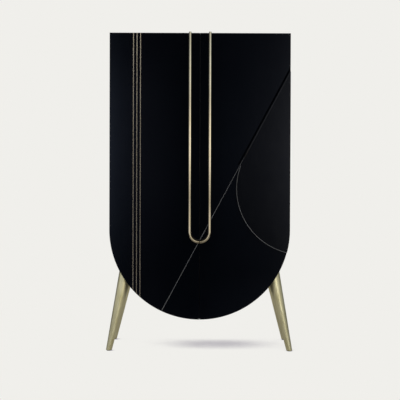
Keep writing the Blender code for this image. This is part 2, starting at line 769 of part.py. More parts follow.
def make_leaf(name, sign, z, face, knuckles):
    """A hinge leaf: a plate let in flush with a face, and the knuckles that are rolled from it.

    face is +1 for the leaf in the side panel and -1 for the one in the door.
    knuckles are (low, high) pairs of z.
    """
    near_y = HINGE_Y + face * DOOR_GAP / 2
    far_y = near_y + face * LEAF_THICKNESS
    low_y, high_y = sorted((near_y, far_y))
    plate_x = HINGE_X - KNUCKLE_RADIUS - SWING_CLEARANCE
    low_x, high_x = sorted((sign * plate_x, sign * (HINGE_X - LEAF_WIDTH)))
    low_z, high_z = z - HINGE_HEIGHT / 2, z + HINGE_HEIGHT / 2
    leaf = add_piece(name, box_mesh(name, (low_x, low_y, low_z), (high_x, high_y, high_z)), BRASS)
    for number, (low, high) in enumerate(knuckles):
        tag = f"{name}_{number}"
        tongue_x = sorted((sign * HINGE_X, sign * (plate_x - SWING_CLEARANCE)))
        tongue = box_mesh("tongue_" + tag, (tongue_x[0], low_y, low), (tongue_x[1], high_y, high))
        bore_profile = cylinder_profile(PIN_RADIUS + SEAT, high + OVERRUN, low - OVERRUN)
        roll = turned_mesh("roll_" + tag, cylinder_profile(KNUCKLE_RADIUS, high, low), SMALL_STEPS)
        bore = turned_mesh("bore_" + tag, bore_profile, SMALL_STEPS)
        for shape in (roll, bore):
            aim(shape, (sign * HINGE_X, HINGE_Y, 0), (0, 0, 1))
        join(leaf, add_cutter(tongue.name, tongue), add_cutter(roll.name, roll))
        cut(leaf, add_cutter(bore.name, bore))
    return leaf


def mortise(name, sign, z, face):
    """The cutter that lets a leaf in, flush with its face."""
    near_y = HINGE_Y + face * DOOR_GAP / 2 - face * OVERRUN
    far_y = HINGE_Y + face * (DOOR_GAP / 2 + LEAF_THICKNESS + SEAT)
    low_y, high_y = sorted((near_y, far_y))
    low_x, high_x = sorted((sign * (HINGE_X + SWING_CLEARANCE), sign * (HINGE_X - LEAF_WIDTH - SEAT)))
    half = HINGE_HEIGHT / 2 + SEAT
    return add_cutter(name, box_mesh(name, (low_x, low_y, z - half), (high_x, high_y, z + half)))


def make_hinges(side, panel, door, pivot):
    sign = SIDES[side]
    third = HINGE_HEIGHT / 3
    for number, z in enumerate(hinge_heights(), start=1):
        tag = f"{side}_{number}"
        bottom, top = z - HINGE_HEIGHT / 2, z + HINGE_HEIGHT / 2
        outer_knuckles = [(bottom, bottom + third - SEAT), (top - third + SEAT, top)]
        make_leaf("hinge_frame_leaf_" + tag, sign, z, 1, outer_knuckles)
        door_leaf = make_leaf("hinge_door_leaf_" + tag, sign, z, -1, [(bottom + third, top - third)])
        carry(door_leaf, pivot)
        pin_profile = [
            (0, top + SEAT + PIN_HEAD_HEIGHT),
            (PIN_HEAD_RADIUS, top + SEAT + PIN_HEAD_HEIGHT),
            (PIN_HEAD_RADIUS, top + SEAT),
            (PIN_RADIUS, top + SEAT),
            (PIN_RADIUS, bottom - SEAT),
            (0, bottom - SEAT),
        ]
        reach = SEAT * 2 + PIN_HEAD_HEIGHT
        relief_profile = cylinder_profile(KNUCKLE_RADIUS + SWING_CLEARANCE, top + reach, bottom - reach)
        pin = turned_mesh("hinge_pin_" + tag, pin_profile, SMALL_STEPS)
        relief = turned_mesh("knuckle_relief_" + tag, relief_profile, SMALL_STEPS)
        for shape in (pin, relief):
            aim(shape, (sign * HINGE_X, HINGE_Y, 0), (0, 0, 1))
        smooth(pin)
        add_piece(pin.name, pin, STEEL)
        relief_cutter = add_cutter(relief.name, relief)
        cut(panel, mortise("panel_mortise_" + tag, sign, z, 1), relief_cutter)
        cut(door, mortise("door_mortise_" + tag, sign, z, -1), relief_cutter)


# Catch


def make_catch(doors, pivots):
    """A double magnetic catch under the top panel, and the plate on each door that it holds."""
    top = ROOF_Z - SEAT
    strike_y = DOOR_BACK_Y + STRIKE_THICKNESS - STRIKE_RECESS + SEAT
    low = (-CATCH_WIDTH / 2, strike_y + SEAT, top - CATCH_HEIGHT)
    high = (CATCH_WIDTH / 2, CARCASS_Y + CATCH_DEPTH, top)
    mesh = box_mesh("magnetic_catch", low, high)
    soften(mesh, EDGE_ROUND, 1, lambda a, b: near(a.z, low[2]) and near(b.z, low[2]))
    add_piece("magnetic_catch", mesh, NYLON)
    for side, sign in SIDES.items():
        name = "strike_plate_" + side
        inner, outer = STRIKE_INSET, STRIKE_INSET + STRIKE_WIDTH
        low_x, high_x = sorted((sign * inner, sign * outer))
        low_z = top - CATCH_HEIGHT
        plate = box_mesh(name, (low_x, strike_y - STRIKE_THICKNESS, low_z), (high_x, strike_y, top))
        carry(add_piece(name, plate, STEEL), pivots[side])
        recess_low = (low_x - SEAT, DOOR_BACK_Y - STRIKE_RECESS, low_z - SEAT)
        recess_high = (high_x + SEAT, DOOR_BACK_Y + OVERRUN, top + SEAT)
        recess = "recess_" + name
        cut(doors[side], add_cutter(recess, box_mesh(recess, recess_low, recess_high)))


# Assembly


def make_pivot(side):
    """An empty on a door's hinge axis."""
    pivot = bpy.data.objects.new(f"door_{side}_pivot", None)
    pivot.location = (SIDES[side] * HINGE_X, HINGE_Y, SPRING_Z)
    PARTS.objects.link(pivot)
    bpy.context.view_layer.update()
    return pivot


def build():
    make_top_panel()
    panels = {side: make_side_panel(side) for side in SIDES}
    base = make_curved_base()
    make_back_panel()
    for name, z in zip(("shelf_lower", "shelf_middle", "shelf_upper"), shelf_heights()):
        make_shelf(name, z)
    make_lower_deck()

    shell_cutter = make_shell_cutter()
    for side in SIDES:
        bearer = make_leg_bearer(side)
        for end in ("front", "back"):
            make_leg(side, end, shell_cutter, base, bearer)

    pivots = {side: make_pivot(side) for side in SIDES}
    doors = {side: make_door(side, pivots[side]) for side in SIDES}
    make_strips(doors["left"], pivots["left"])
    make_raised_panel(pivots["right"])
    for side in SIDES:
        make_line_inlay(side, doors[side], pivots[side])
        make_handle(side, doors[side], pivots[side])
        make_hinges(side, panels[side], doors[side], pivots[side])
    make_catch(doors, pivots)


clear_scene()
PARTS = new_collection("bar_cabinet")
CUTTERS = new_collection("cutters")
build()
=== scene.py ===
"""A tall bar cabinet in blue-black lacquer, with brass inlays, rod handles and splayed brass legs.

Metres, +Z up. The doors face -Y, the floor is z = 0, and left and right are as seen from the front.
"""

import math

import bpy
from mathutils import Euler, Matrix, Vector


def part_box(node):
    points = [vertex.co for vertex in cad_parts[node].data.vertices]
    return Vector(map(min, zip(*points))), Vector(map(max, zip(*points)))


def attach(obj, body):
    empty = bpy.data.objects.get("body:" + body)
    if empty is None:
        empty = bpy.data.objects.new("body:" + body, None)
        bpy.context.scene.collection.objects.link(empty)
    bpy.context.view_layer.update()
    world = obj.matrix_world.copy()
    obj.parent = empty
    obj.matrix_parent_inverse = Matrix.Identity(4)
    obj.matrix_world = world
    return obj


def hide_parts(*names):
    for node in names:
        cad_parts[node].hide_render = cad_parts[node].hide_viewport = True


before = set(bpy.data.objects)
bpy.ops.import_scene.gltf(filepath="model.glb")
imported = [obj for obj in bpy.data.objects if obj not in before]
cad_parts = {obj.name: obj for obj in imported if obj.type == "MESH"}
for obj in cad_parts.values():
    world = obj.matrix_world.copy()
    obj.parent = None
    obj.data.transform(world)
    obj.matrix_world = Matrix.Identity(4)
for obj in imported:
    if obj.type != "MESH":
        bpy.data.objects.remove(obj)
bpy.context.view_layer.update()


# The photograph's standpoint: a long lens about six metres in front of the doors, at chest height,
# aimed a little below the horizon and turned a quarter of a degree about its own axis.
camera_away = 6.15
camera_aside = 0.0013
camera_height = 1.015
camera_lens_mm = 111.2
camera_film_mm = 36
camera_dip = math.radians(1.30)
camera_roll = math.radians(0.22)
camera_shift_share = -0.0581

aim = Euler((math.pi / 2 - camera_dip, 0, 0)).to_matrix() @ Euler((0, 0, camera_roll)).to_matrix()
camera_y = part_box("door_left")[0].y - camera_away
bpy.ops.object.camera_add(location=(camera_aside, camera_y, camera_height), rotation=aim.to_euler())
camera = bpy.context.active_object
camera.name = "standpoint"
camera.data.lens = camera_lens_mm
camera.data.sensor_width = camera_film_mm
camera.data.shift_y = camera_shift_share
bpy.context.scene.camera = camera
bpy.context.scene.view_settings.view_transform = "Standard"


# The studio floor: pale paper that glows evenly up to its faded rim, but for a painted shadow in its glow
# where something stands close over it, on the side away from the lamp. It is dimmer in what the metal
# mirrors. The lamp is wide, overhead and a little to the left.
paper = (0.8713, 0.8632, 0.8308)
floor_middle = (0.0, 0.35, 0.0)
floor_radius = 1.80
floor_rim = 0.30
floor_rim_clear = 0.015
floor_sides = 96
shade_reach = 0.50
shade_colour = (0.199, 0.172, 0.246)
shade_open, shade_closed = 0.585, 0.295
shade_lean = (-0.53, -0.34, 0.95)
shade_samples = 24
floor_mirror_share = 0.42
lamp_strength = 2.2
lamp_width = math.radians(50)
lamp_lean = (math.radians(6), math.radians(8), 0)
room_shade = 0.22


def start_finish(name, colour, roughness, metallic=0.0):
    """A new finish, with its plain values set on the shader."""
    finish = bpy.data.materials.new(name)
    finish.use_nodes = True
    shader = shader_of(finish)
    shader.inputs["Base Color"].default_value = (*colour, 1)
    shader.inputs["Roughness"].default_value = roughness
    shader.inputs["Metallic"].default_value = metallic
    return finish


def shader_of(finish):
    return finish.node_tree.nodes["Principled BSDF"]


def link(owner, source, target):
    owner.node_tree.links.new(source, target)


def fill(owner, sockets, values):
    """Fills inputs in turn, each with a plain value or another node's output."""
    for socket, value in zip(sockets, values):
        if isinstance(value, bpy.types.NodeSocket):
            link(owner, value, socket)
        else:
            socket.default_value = value


def add_node(owner, kind, *values, **settings):
    """A node with its settings, and with values for its first inputs."""
    node = owner.node_tree.nodes.new(kind)
    for setting, value in settings.items():
        setattr(node, setting, value)
    fill(owner, node.inputs, values)
    return node


def between(owner, pattern, low, high):
    """Rises smoothly from 0 at the low value of a pattern to 1 at the high one."""
    rise = add_node(owner, "ShaderNodeMapRange", pattern, low, high, interpolation_type="SMOOTHSTEP")
    return rise.outputs["Result"]


def blend(owner, kind, share, first, second):
    """Mixes or multiplies two colours."""
    node = add_node(owner, "ShaderNodeMix", share, data_type="RGBA", blend_type=kind)
    fill(owner, node.inputs[6:], (first, second))
    return node.outputs[2]


def settle(name):
    """Names the piece just made and moves its place into its mesh."""
    piece = bpy.context.active_object
    piece.name = name
    piece.data.name = name
    bpy.ops.object.transform_apply(location=True, rotation=True, scale=True)
    return piece


bpy.ops.mesh.primitive_circle_add(vertices=floor_sides, radius=floor_radius, fill_type="TRIFAN",
                                  location=floor_middle)
floor = settle("studio_floor")
sheet = start_finish("studio_paper", (0, 0, 0), 1.0)
spot = add_node(sheet, "ShaderNodeTexCoord").outputs["Object"]
distance = add_node(sheet, "ShaderNodeVectorMath", spot, floor_middle, operation="DISTANCE")
fade = between(sheet, distance.outputs["Value"], floor_radius - floor_rim, floor_radius - floor_rim_clear)
open_sky = add_node(sheet, "ShaderNodeAmbientOcclusion", samples=shade_samples)
open_sky.inputs["Distance"].default_value = shade_reach
lean = add_node(sheet, "ShaderNodeVectorMath", shade_lean, operation="NORMALIZE")
link(sheet, lean.outputs[0], open_sky.inputs["Normal"])
# Painted shadow: the glow darkens where the occlusion test finds something close above the floor.
lit = between(sheet, open_sky.outputs["AO"], shade_closed, shade_open)
tone = blend(sheet, "MIX", lit, (*shade_colour, 1), (*paper, 1))
seen_directly = add_node(sheet, "ShaderNodeLightPath").outputs["Is Camera Ray"]
dimmed = add_node(sheet, "ShaderNodeMapRange", seen_directly, 0.0, 1.0, floor_mirror_share, 1.0)
glow = add_node(sheet, "ShaderNodeEmission", tone, dimmed.outputs["Result"])
clear = add_node(sheet, "ShaderNodeBsdfTransparent")
mix = add_node(sheet, "ShaderNodeMixShader", fade, glow.outputs[0], clear.outputs[0])
link(sheet, mix.outputs[0], sheet.node_tree.nodes["Material Output"].inputs["Surface"])
floor.data.materials.append(sheet)

bpy.ops.object.light_add(type="SUN", rotation=lamp_lean)
lamp = bpy.context.active_object
lamp.name = "overhead_lamp"
lamp.data.energy = lamp_strength
lamp.data.angle = lamp_width
lamp.visible_glossy = False


# The room that the lacquer and the metal mirror. The stretch straight in front of the doors is dark in its
# middle and paler to either side. The walls beyond are brightest behind the camera, in a band at its height,
# with a window high on the left, and are dark behind the cabinet. Places are parts of a unit direction.
mirror_half = 0.10
wall_start, wall_full = 0.085, 0.15
behind_start, behind_full = 0.0, 0.3
steep_start, steep_full = 0.25, 0.60
middle_blend = 0.02
middle_tint = (0.002, 0.003, 0.008)
room_left_tint = [(0.0160, (0.010, 0.012, 0.018)), (0.0323, (0.030, 0.032, 0.045)),
                  (0.0405, (0.042, 0.043, 0.062)), (0.0602, (0.060, 0.069, 0.106)),
                  (0.0684, (0.086, 0.103, 0.164)), (0.0740, (0.180, 0.230, 0.340)),
                  (0.1000, (0.500, 0.550, 0.620))]
room_right_tint = [(0.0160, (0.020, 0.026, 0.038)), (0.0350, (0.037, 0.044, 0.062)),
                   (0.0474, (0.066, 0.072, 0.098)), (0.0572, (0.088, 0.094, 0.124)),
                   (0.0653, (0.110, 0.118, 0.156)), (0.0702, (0.185, 0.200, 0.255)),
                   (0.1000, (0.500, 0.520, 0.560))]
level_reach = 0.15
left_levels = [(-0.150, 0.60), (-0.125, 0.40), (-0.100, 0.22), (-0.079, 0.40), (-0.042, 0.76),
               (0.000, 1.00), (0.039, 0.89), (0.080, 0.36), (0.100, 0.30)]
right_levels = [(-0.150, 0.90), (-0.125, 0.60), (-0.100, 0.24), (-0.079, 0.42), (-0.042, 0.76),
                (0.000, 1.00), (0.039, 0.76), (0.080, 0.48), (0.100, 0.42)]
wall_levels = [(-0.90, 0.16), (-0.45, 0.08), (-0.20, 0.10), (-0.080, 0.44), (-0.058, 0.74), (-0.042, 0.21),
               (-0.026, 0.58), (-0.010, 0.98), (0.0065, 1.02), (0.023, 0.90), (0.037, 0.42),
               (0.047, (0.60, 0.65, 0.69)), (0.059, (0.70, 0.75, 0.81)), (0.0715, (0.55, 0.61, 0.66)),
               (0.088, (0.38, 0.43, 0.46)), (0.14, 0.60), (0.30, 0.48), (0.60, 0.42), (0.90, 0.30)]
wall_sides = [(-1.0, (0.44, 0.45, 0.48)), (-0.50, (0.44, 0.45, 0.48)), (-0.20, (1.05, 1.05, 1.05)),
              (0.0, (2.00, 1.98, 1.94)), (0.30, (2.00, 1.98, 1.92)), (0.50, (1.30, 1.29, 1.25)),
              (0.80, (0.62, 0.63, 0.64)), (1.0, (0.48, 0.49, 0.52))]
wall_depths = [(0.0, (1.0, 1.0, 1.0)), (0.25, (0.45, 0.46, 0.50)), (0.9, (0.26, 0.27, 0.30))]
wall_brightness = 1.25
window_left, window_far_left = -0.20, -0.42
window_sill, window_head = 0.10, 0.20
window_gain = 1.6

room = bpy.data.worlds.new("studio")
bpy.context.scene.world = room
room.use_nodes = True
room.node_tree.nodes.clear()


def ramp(owner, pattern, stops):
    """Turns a pattern into colours or shades; stops are (place, value) pairs."""
    node = add_node(owner, "ShaderNodeValToRGB", pattern)
    band = node.color_ramp
    while len(band.elements) < len(stops):
        band.elements.new(1.0)
    for element, (place, value) in zip(band.elements, stops):
        element.position = place
        element.color = (*value, 1) if isinstance(value, tuple) else (value, value, value, 1)
    return node.outputs["Color"]


def sums(owner, operation, *values):
    return add_node(owner, "ShaderNodeMath", *values, operation=operation).outputs["Value"]


def room_ramp(pattern, reach_each_way, stops):
    """A ramp over a signed pattern, from minus its reach to plus its reach."""
    shifted = sums(room, "MULTIPLY_ADD", pattern, 0.5 / reach_each_way, 0.5)
    return ramp(room, shifted, [(0.5 + place / reach_each_way / 2, value) for place, value in stops])


direction = add_node(room, "ShaderNodeTexCoord").outputs["Generated"]
compass = add_node(room, "ShaderNodeSeparateXYZ", direction).outputs
across = [(-place, tint) for place, tint in reversed(room_left_tint)] + [(0.0, middle_tint)]
front_zone = room_ramp(compass["X"], mirror_half, across + room_right_tint)
levels = blend(room, "MIX", between(room, compass["X"], -middle_blend, middle_blend),
               room_ramp(compass["Z"], level_reach, left_levels),
               room_ramp(compass["Z"], level_reach, right_levels))
front_zone = blend(room, "MULTIPLY", 1.0, front_zone, levels)
walls = blend(room, "MULTIPLY", 1.0, room_ramp(compass["Z"], 1.0, wall_levels),
              room_ramp(compass["X"], 1.0, wall_sides))
walls = blend(room, "MULTIPLY", 1.0, walls, ramp(room, compass["Y"], wall_depths))
window = sums(room, "MULTIPLY", between(room, compass["X"], window_left, window_far_left),
              between(room, compass["Z"], window_sill, window_head))
walls = blend(room, "MULTIPLY", 1.0, walls, sums(room, "MULTIPLY_ADD", window, window_gain, 1.0))
aside = between(room, sums(room, "ABSOLUTE", compass["X"]), wall_start, wall_full)
aside = sums(room, "MAXIMUM", aside, between(room, compass["Y"], behind_start, behind_full))
steep = between(room, sums(room, "ABSOLUTE", compass["Z"]), steep_start, steep_full)
aside = sums(room, "MAXIMUM", aside, steep)
mirrored_colour = blend(room, "MIX", aside, front_zone, walls)
mirrored = add_node(room, "ShaderNodeBackground", mirrored_colour, wall_brightness).outputs[0]
shade = add_node(room, "ShaderNodeBackground", (1, 1, 1, 1), room_shade).outputs[0]
backdrop = add_node(room, "ShaderNodeBackground", (*paper, 1), 1.0).outputs[0]
path = add_node(room, "ShaderNodeLightPath").outputs
bounced = add_node(room, "ShaderNodeMixShader", path["Is Diffuse Ray"], mirrored, shade).outputs[0]
seen = add_node(room, "ShaderNodeMixShader", path["Is Camera Ray"], bounced, backdrop).outputs[0]
add_node(room, "ShaderNodeOutputWorld", seen)


# The body's boards: a flat top and two flat sides of 22 mm board, and a sheet bent into a half circle below
# them. They are veneered in walnut inside, and faired and lacquered as one outside.
board_low, board_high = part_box("side_panel_right")
top_low, top_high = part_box("top_panel")
half_width = top_high.x
inner_half = board_low.x
spring_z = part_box("curved_base")[1].z
body_front_y, body_back_y = board_low.y, board_high.y
body_middle_y = (body_front_y + body_back_y) / 2
swing_chamfer = 0.0049
arris = 0.0012
arris_steps = 4
round_sides = 288
overrun = 0.02
touching = 0.0002
square_on, edge_on = 0.9, 0.2
level_faces = math.radians(0.2)
crease = math.radians(35)
lacquer_dark = (0.0011, 0.0017, 0.0030)
lacquer_light = (0.0017, 0.0023, 0.0037)
lacquer_roughness = 0.055
lacquer_patch = (0.30, 0.30, 0.45)
polish_patch = (0.05, 0.05, 0.09)
peel_size, peel_depth = 0.006, 0.000004
walnut_dark = (0.052, 0.026, 0.014)
walnut_light = (0.175, 0.096, 0.050)
walnut_roughness = 0.42
streak_width, streak_run = 0.035, 0.60
pore_width, pore_run, pore_depth = 0.0016, 0.022, 0.00006
along_x, along_y, along_z = 0, 1, 2
sides = (("left", -1), ("right", 1))


def cloud(finish, sizes, detail=3.0, place=None):
    """Soft patches, with their sizes in metres along X, Y and Z."""
    place = place or add_node(finish, "ShaderNodeTexCoord").outputs["Object"]
    fit_size = add_node(finish, "ShaderNodeMapping", place)
    fit_size.inputs["Scale"].default_value = [1 / size for size in sizes]
    noise = add_node(finish, "ShaderNodeTexNoise", fit_size.outputs["Vector"])
    noise.inputs["Scale"].default_value = 1.0
    noise.inputs["Detail"].default_value = detail
    return noise.outputs["Fac"]


def dress(finish, tone, gloss, pattern, depth):
    """Gives a finish its colour and roughness, and a relief after a pattern, with its depth in metres."""
    shader = shader_of(finish)
    link(finish, tone, shader.inputs["Base Color"])
    link(finish, gloss, shader.inputs["Roughness"])
    bump = add_node(finish, "ShaderNodeBump")
    bump.inputs["Strength"].default_value = 1.0
    bump.inputs["Distance"].default_value = depth
    link(finish, pattern, bump.inputs["Height"])
    link(finish, bump.outputs["Normal"], shader.inputs["Normal"])
    return finish


def make_lacquer(name, dark, light, roughness):
    """Sprayed and polished lacquer: faint orange peel, and a gloss that varies a little over the surface."""
    finish = start_finish(name, light, roughness)
    tone = ramp(finish, cloud(finish, lacquer_patch), [(0.35, dark), (0.65, light)])
    polish = cloud(finish, polish_patch)
    gloss = ramp(finish, polish, [(0.3, roughness * 0.85), (0.7, roughness * 1.15)])
    return dress(finish, tone, gloss, cloud(finish, [peel_size] * 3, 1.0), peel_depth)


def make_walnut(name, grain_axis, dark=walnut_dark, light=walnut_light):
    """Figured walnut veneer, oiled: long streaks along one axis, broken by fine pores."""
    finish = start_finish(name, light, walnut_roughness)
    streaks, pores = [streak_width] * 3, [pore_width] * 3
    streaks[grain_axis], pores[grain_axis] = streak_run, pore_run
    figure = ramp(finish, cloud(finish, streaks, 6.0), [(0.30, dark), (0.52, light), (0.72, dark)])
    specks = ramp(finish, cloud(finish, pores, 2.0), [(0.42, 0.55), (0.58, 1.0)])
    gloss = ramp(finish, specks, [(0.5, 0.55), (1.0, 0.38)])
    return dress(finish, blend(finish, "MULTIPLY", 1.0, figure, specks), gloss, specks, pore_depth)


def choose(piece):
    bpy.ops.object.select_all(action="DESELECT")
    piece.select_set(True)
    bpy.context.view_layer.objects.active = piece


def saw(piece, point, beyond):
    """Cuts away what lies beyond a plane through a point, and closes the cut."""
    choose(piece)
    bpy.ops.object.mode_set(mode="EDIT")
    bpy.ops.mesh.select_all(action="SELECT")
    bpy.ops.mesh.bisect(plane_co=point, plane_no=beyond, use_fill=True, clear_outer=True)
    bpy.ops.object.mode_set(mode="OBJECT")


def block(name, low, high):
    """A squared block between two corners."""
    low, high = Vector(low), Vector(high)
    bpy.ops.mesh.primitive_cube_add(size=1, location=(low + high) / 2, scale=high - low)
    return settle(name)


def pick_faces(piece, test):
    """Opens a piece for editing with only the faces selected whose normals pass a test."""
    choose(piece)
    bpy.ops.object.mode_set(mode="EDIT")
    bpy.ops.mesh.select_mode(type="FACE")
    bpy.ops.mesh.select_all(action="DESELECT")
    bpy.ops.object.mode_set(mode="OBJECT")
    for face in piece.data.polygons:
        face.select = test(face.normal)
    bpy.ops.object.mode_set(mode="EDIT")


def draw_up(piece, height):
    """Draws a piece's level top faces up by a height."""
    pick_faces(piece, lambda normal: normal.z > square_on)
    bpy.ops.mesh.extrude_region_move(TRANSFORM_OT_translate={"value": (0, 0, height)})
    bpy.ops.mesh.select_all(action="SELECT")
    bpy.ops.mesh.dissolve_limited(angle_limit=level_faces)
    bpy.ops.object.mode_set(mode="OBJECT")


def disc(name, radius, middle, depth):
    """A round board that faces the front."""
    bpy.ops.mesh.primitive_cylinder_add(vertices=round_sides, radius=radius, depth=depth, location=middle,
                                        rotation=(math.pi / 2, 0, 0))
    return settle(name)


def rod_along(name, axis, radius, low, high, place, steps=32, far_radius=None):
    """A round bar along Y or Z between two places on that axis; place gives the other two."""
    turns = {"y": (-math.pi / 2, 0, 0), "z": (0, 0, 0)}
    middle = Vector(place)
    middle["xyz".index(axis)] = (low + high) / 2
    far_radius = radius if far_radius is None else far_radius
    bpy.ops.mesh.primitive_cone_add(vertices=steps, radius1=radius, radius2=far_radius, depth=high - low,
                                    location=middle, rotation=turns[axis])
    return settle(name)


def arched_board(name, half, foot_z, top_z, front_y, back_y):
    """A board with square top corners and a half-round foot: half a disc, drawn up from its level edge."""
    board = disc(name, half, (0, (front_y + back_y) / 2, foot_z), back_y - front_y)
    saw(board, (0, 0, foot_z), (0, 0, 1))
    draw_up(board, top_z - foot_z)
    return board


def apply_modifier(piece, modifier):
    choose(piece)
    bpy.ops.object.modifier_apply(modifier=modifier.name)


def combine(piece, tool, operation="DIFFERENCE"):
    """Cuts a piece with a tool, or joins or trims it, and takes the tool away."""
    modifier = piece.modifiers.new("combine", "BOOLEAN")
    modifier.operation = operation
    modifier.solver = "EXACT"
    modifier.object = tool
    apply_modifier(piece, modifier)
    bpy.data.objects.remove(tool)


def round_over(piece, width, steps, test):
    """Rounds the edges over whose two ends pass a test. One step makes a flat chamfer."""
    weights = piece.data.attributes.new("bevel_weight_edge", "FLOAT", "EDGE")
    for edge in piece.data.edges:
        a, b = (piece.data.vertices[index].co for index in edge.vertices)
        weights.data[edge.index].value = float(test(a, b))
    bevel = piece.modifiers.new("round over", "BEVEL")
    bevel.limit_method = "WEIGHT"
    bevel.width = width
    bevel.segments = steps
    bevel.use_clamp_overlap = False
    apply_modifier(piece, bevel)
    weights = piece.data.attributes.get("bevel_weight_edge")
    if weights:
        piece.data.attributes.remove(weights)


def hang(piece, finish, body, slot, *replaced, lining=None, lined=None):
    """Gives a piece its finish and shading, and hangs it on its body, in place of the solids it stands for.

    Faces whose middle and normal pass the test get the lining instead.
    """
    piece.data.materials.clear()
    piece.data.materials.append(finish)
    if lining:
        piece.data.materials.append(lining)
    for face in piece.data.polygons:
        face.material_index = int(bool(lining) and lined(face.center, face.normal))
    choose(piece)
    bpy.ops.object.shade_smooth_by_angle(angle=crease)
    normals = piece.modifiers.new("flat faces", "WEIGHTED_NORMAL")
    normals.keep_sharp = True
    normals.weight = 100
    apply_modifier(piece, normals)
    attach(piece, body)
    if replaced:
        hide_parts(*replaced)


def near(a, b):
    return abs(a - b) < touching


def rim_at(axis, value):
    """A test for the edges whose two ends are at one place along an axis."""
    return lambda a, b: near(a[axis], value) and near(b[axis], value)


def on_side(point):
    """Whether a point is on the outer sides or round the foot."""
    below = max(spring_z - point.z, 0)
    return near(abs(point.x), math.sqrt(max(half_width ** 2 - below ** 2, 0)))


def swing_edge(y):
    """A test for the outer edges at one depth, down the sides and round the foot."""
    return lambda a, b: rim_at(along_y, y)(a, b) and on_side(a) and on_side(b)


def inside_body(middle, normal):
    """Faces that look into the cabinet."""
    rise = max(spring_z - middle.z, 0)
    return rise * normal.z - normal.x * middle.x > edge_on * half_width and abs(normal.y) < edge_on


lacquer = make_lacquer("blue_black_lacquer", lacquer_dark, lacquer_light, lacquer_roughness)
walnut_upright = make_walnut("walnut_upright", along_z)
walnut_level = make_walnut("walnut_level", along_x)
walnut_deep = make_walnut("walnut_deep", along_y)
pin_low, pin_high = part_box("hinge_pin_right_1")
pin_x, pin_y = ((pin_low + pin_high) / 2).xy
leaf_boxes = [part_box(f"hinge_frame_leaf_right_{number}") for number in (1, 2, 3)]
leaf_half = (leaf_boxes[0][1].z - leaf_boxes[0][0].z) / 2
leaf_middles = [(low.z + high.z) / 2 for low, high in leaf_boxes]
leaf_inner_x = leaf_boxes[0][0].x
leaf_thick = 0.0016
leaf_slack = 0.0002
knuckle_radius = 0.0035
knuckle_slack = 0.0006
knuckle_hollow_spare = 0.0018
knuckle_hollow_half = leaf_half + knuckle_hollow_spare
knuckle_hollow_sides = 48
hollow_run = 1.0


def let_in_hinges(board, sign, face_y, inward):
    """Sinks a mortise for each leaf and a hollow for its knuckle into a board's edge or face."""
    for middle in leaf_middles:
        x_ends = sorted((sign * (leaf_inner_x - leaf_slack), sign * (pin_x + knuckle_slack)))
        y_ends = sorted((face_y - inward * overrun, face_y + inward * (leaf_thick + leaf_slack)))
        z_ends = (middle - leaf_half - leaf_slack, middle + leaf_half + leaf_slack)
        combine(board, block("mortise", *zip(x_ends, y_ends, z_ends)))
        combine(board, rod_along("knuckle_hollow", "z", knuckle_radius + knuckle_slack,
                                 middle - knuckle_hollow_half, middle + knuckle_hollow_half,
                                 (sign * pin_x, pin_y, 0), knuckle_hollow_sides))


for side, sign in sides:
    low_x, high_x = sorted((sign * inner_half, sign * half_width))
    panel = block("side_board_" + side, (low_x, body_front_y, spring_z), (high_x, body_back_y, top_low.z))
    round_over(panel, swing_chamfer, 1, swing_edge(body_front_y))
    let_in_hinges(panel, sign, body_front_y, 1)
    hang(panel, lacquer, "carcass", "lacquer", "side_panel_" + side,
         lining=walnut_upright, lined=inside_body)

shell = disc("bent_shell", half_width, (0, body_middle_y, spring_z), body_back_y - body_front_y)
saw(shell, (0, 0, spring_z), (0, 0, 1))
round_over(shell, swing_chamfer, 1, swing_edge(body_front_y))
combine(shell, disc("hollow", inner_half, (0, 0, spring_z), hollow_run))
hang(shell, lacquer, "carcass", "lacquer", "curved_base", lining=walnut_deep, lined=inside_body)

top = block("top_board", top_low, top_high)
round_over(top, swing_chamfer, 1,
           lambda a, b: rim_at(along_y, body_front_y)(a, b) and near(a.x, b.x))
hang(top, lacquer, "carcass", "lacquer", "top_panel",
     lining=walnut_level, lined=lambda middle, normal: normal.z < -square_on)


# The doors: one board, sawn down the middle, with a half-round foot as wide as the body, lacquered outside
# and veneered inside. Their back arrises are cut back to clear the body as they swing.
door_low, door_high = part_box("door_right")
door_front_y, door_back_y = door_low.y, door_high.y
door_top_z = door_high.z
seam_half = door_low.x
seam_round_share = 0.4


def copy_of(piece, name):
    """A second piece with its own mesh."""
    choose(piece)
    bpy.ops.object.duplicate()
    twin = bpy.context.active_object
    twin.name = name
    twin.data.name = name
    return twin


def front_edge(a, b):
    """Full rounding round the front, and less of it where the doors meet."""
    if not rim_at(along_y, door_front_y)(a, b):
        return 0
    return seam_round_share if near(abs(a.x), seam_half) and near(abs(b.x), seam_half) else 1


front = arched_board("front_board", half_width, spring_z, door_top_z, door_front_y, door_back_y)
round_over(front, swing_chamfer, 1, swing_edge(door_back_y))
doors = {}
for side, sign in sides:
    doors[side] = copy_of(front, "door_board_" + side)
    saw(doors[side], (sign * seam_half, 0, 0), (-sign, 0, 0))
    round_over(doors[side], arris, arris_steps, front_edge)
bpy.data.objects.remove(front)


# Three brass strips let in flush with the left door, from its top edge to its curved edge, with painted
# light that makes them brighter towards the top. Each is sawn to the door's own outline, so its ends follow
# the rounded arris.
strip_boxes = [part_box(f"brass_strip_{number}") for number in (1, 2, 3)]
strip_saw_height = 2.0
groove_slack = 0.0004
strip_colour = (0.425, 0.365, 0.28)
strip_roughness = 0.24
strip_painted_light = [(0.25, 0.86), (0.45, 0.86), (0.75, 0.80), (1.05, 0.95), (1.38, 1.30), (1.51, 1.50),
                (1.58, 1.80)]
scratch_width, scratch_run = 0.0004, 0.05
fine_scratch_depth = 0.000003
tarnish_patch = (0.02, 0.02, 0.05)
tarnish_tint = (0.90, 0.88, 0.80)


